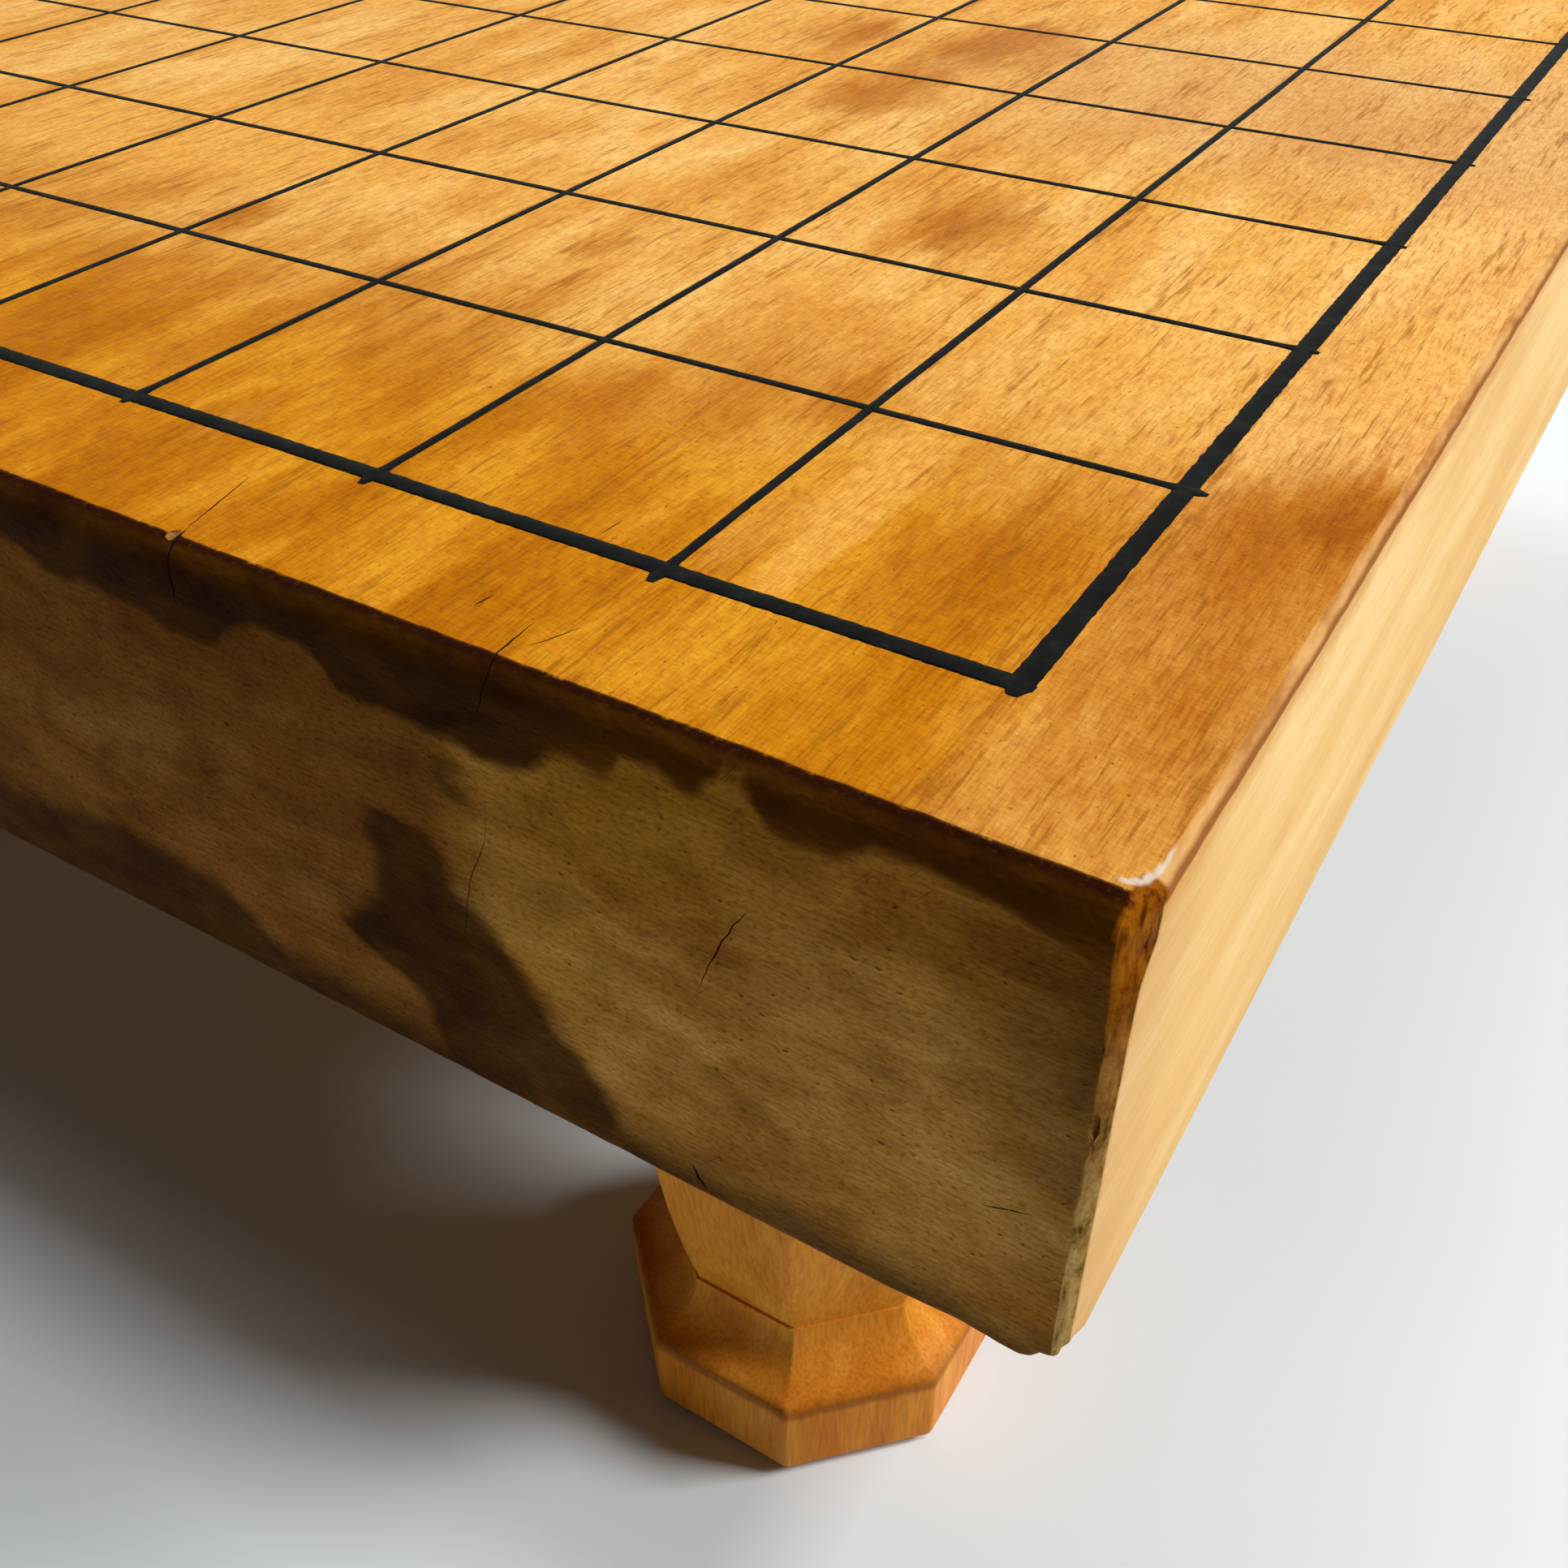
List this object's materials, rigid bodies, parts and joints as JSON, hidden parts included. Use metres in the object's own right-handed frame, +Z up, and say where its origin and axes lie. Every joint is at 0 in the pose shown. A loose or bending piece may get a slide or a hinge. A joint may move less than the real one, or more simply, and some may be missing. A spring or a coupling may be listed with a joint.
{
  "type": "shogi board",
  "caption": "Low wooden shogi board: a thick plank ruled with black lacquer lines, standing on carved eight-sided legs that are tenoned into its underside.",
  "frame": {"origin": "middle of the footprint, on the ground that the feet stand on", "axes": "+Z up, +Y from the near player to the far player along the files, +X to the near player's right along the ranks"},
  "size_m": [0.333, 0.364, 0.142],
  "materials": {
    "plank_wood": "old honey-coloured softwood, satin top, end grain on the two end faces",
    "leg_wood": "orange-brown carved wood, satin",
    "black_lacquer": "black lacquer lines, satin gloss"
  },
  "bodies": {
    "root": {"plank": "plank_wood", "leg_front_left": "leg_wood", "leg_front_right": "leg_wood", "leg_back_left": "leg_wood", "leg_back_right": "leg_wood", "lacquer_frame": "black_lacquer", "lacquer_grid": "black_lacquer"}
  },
  "joints": []
}
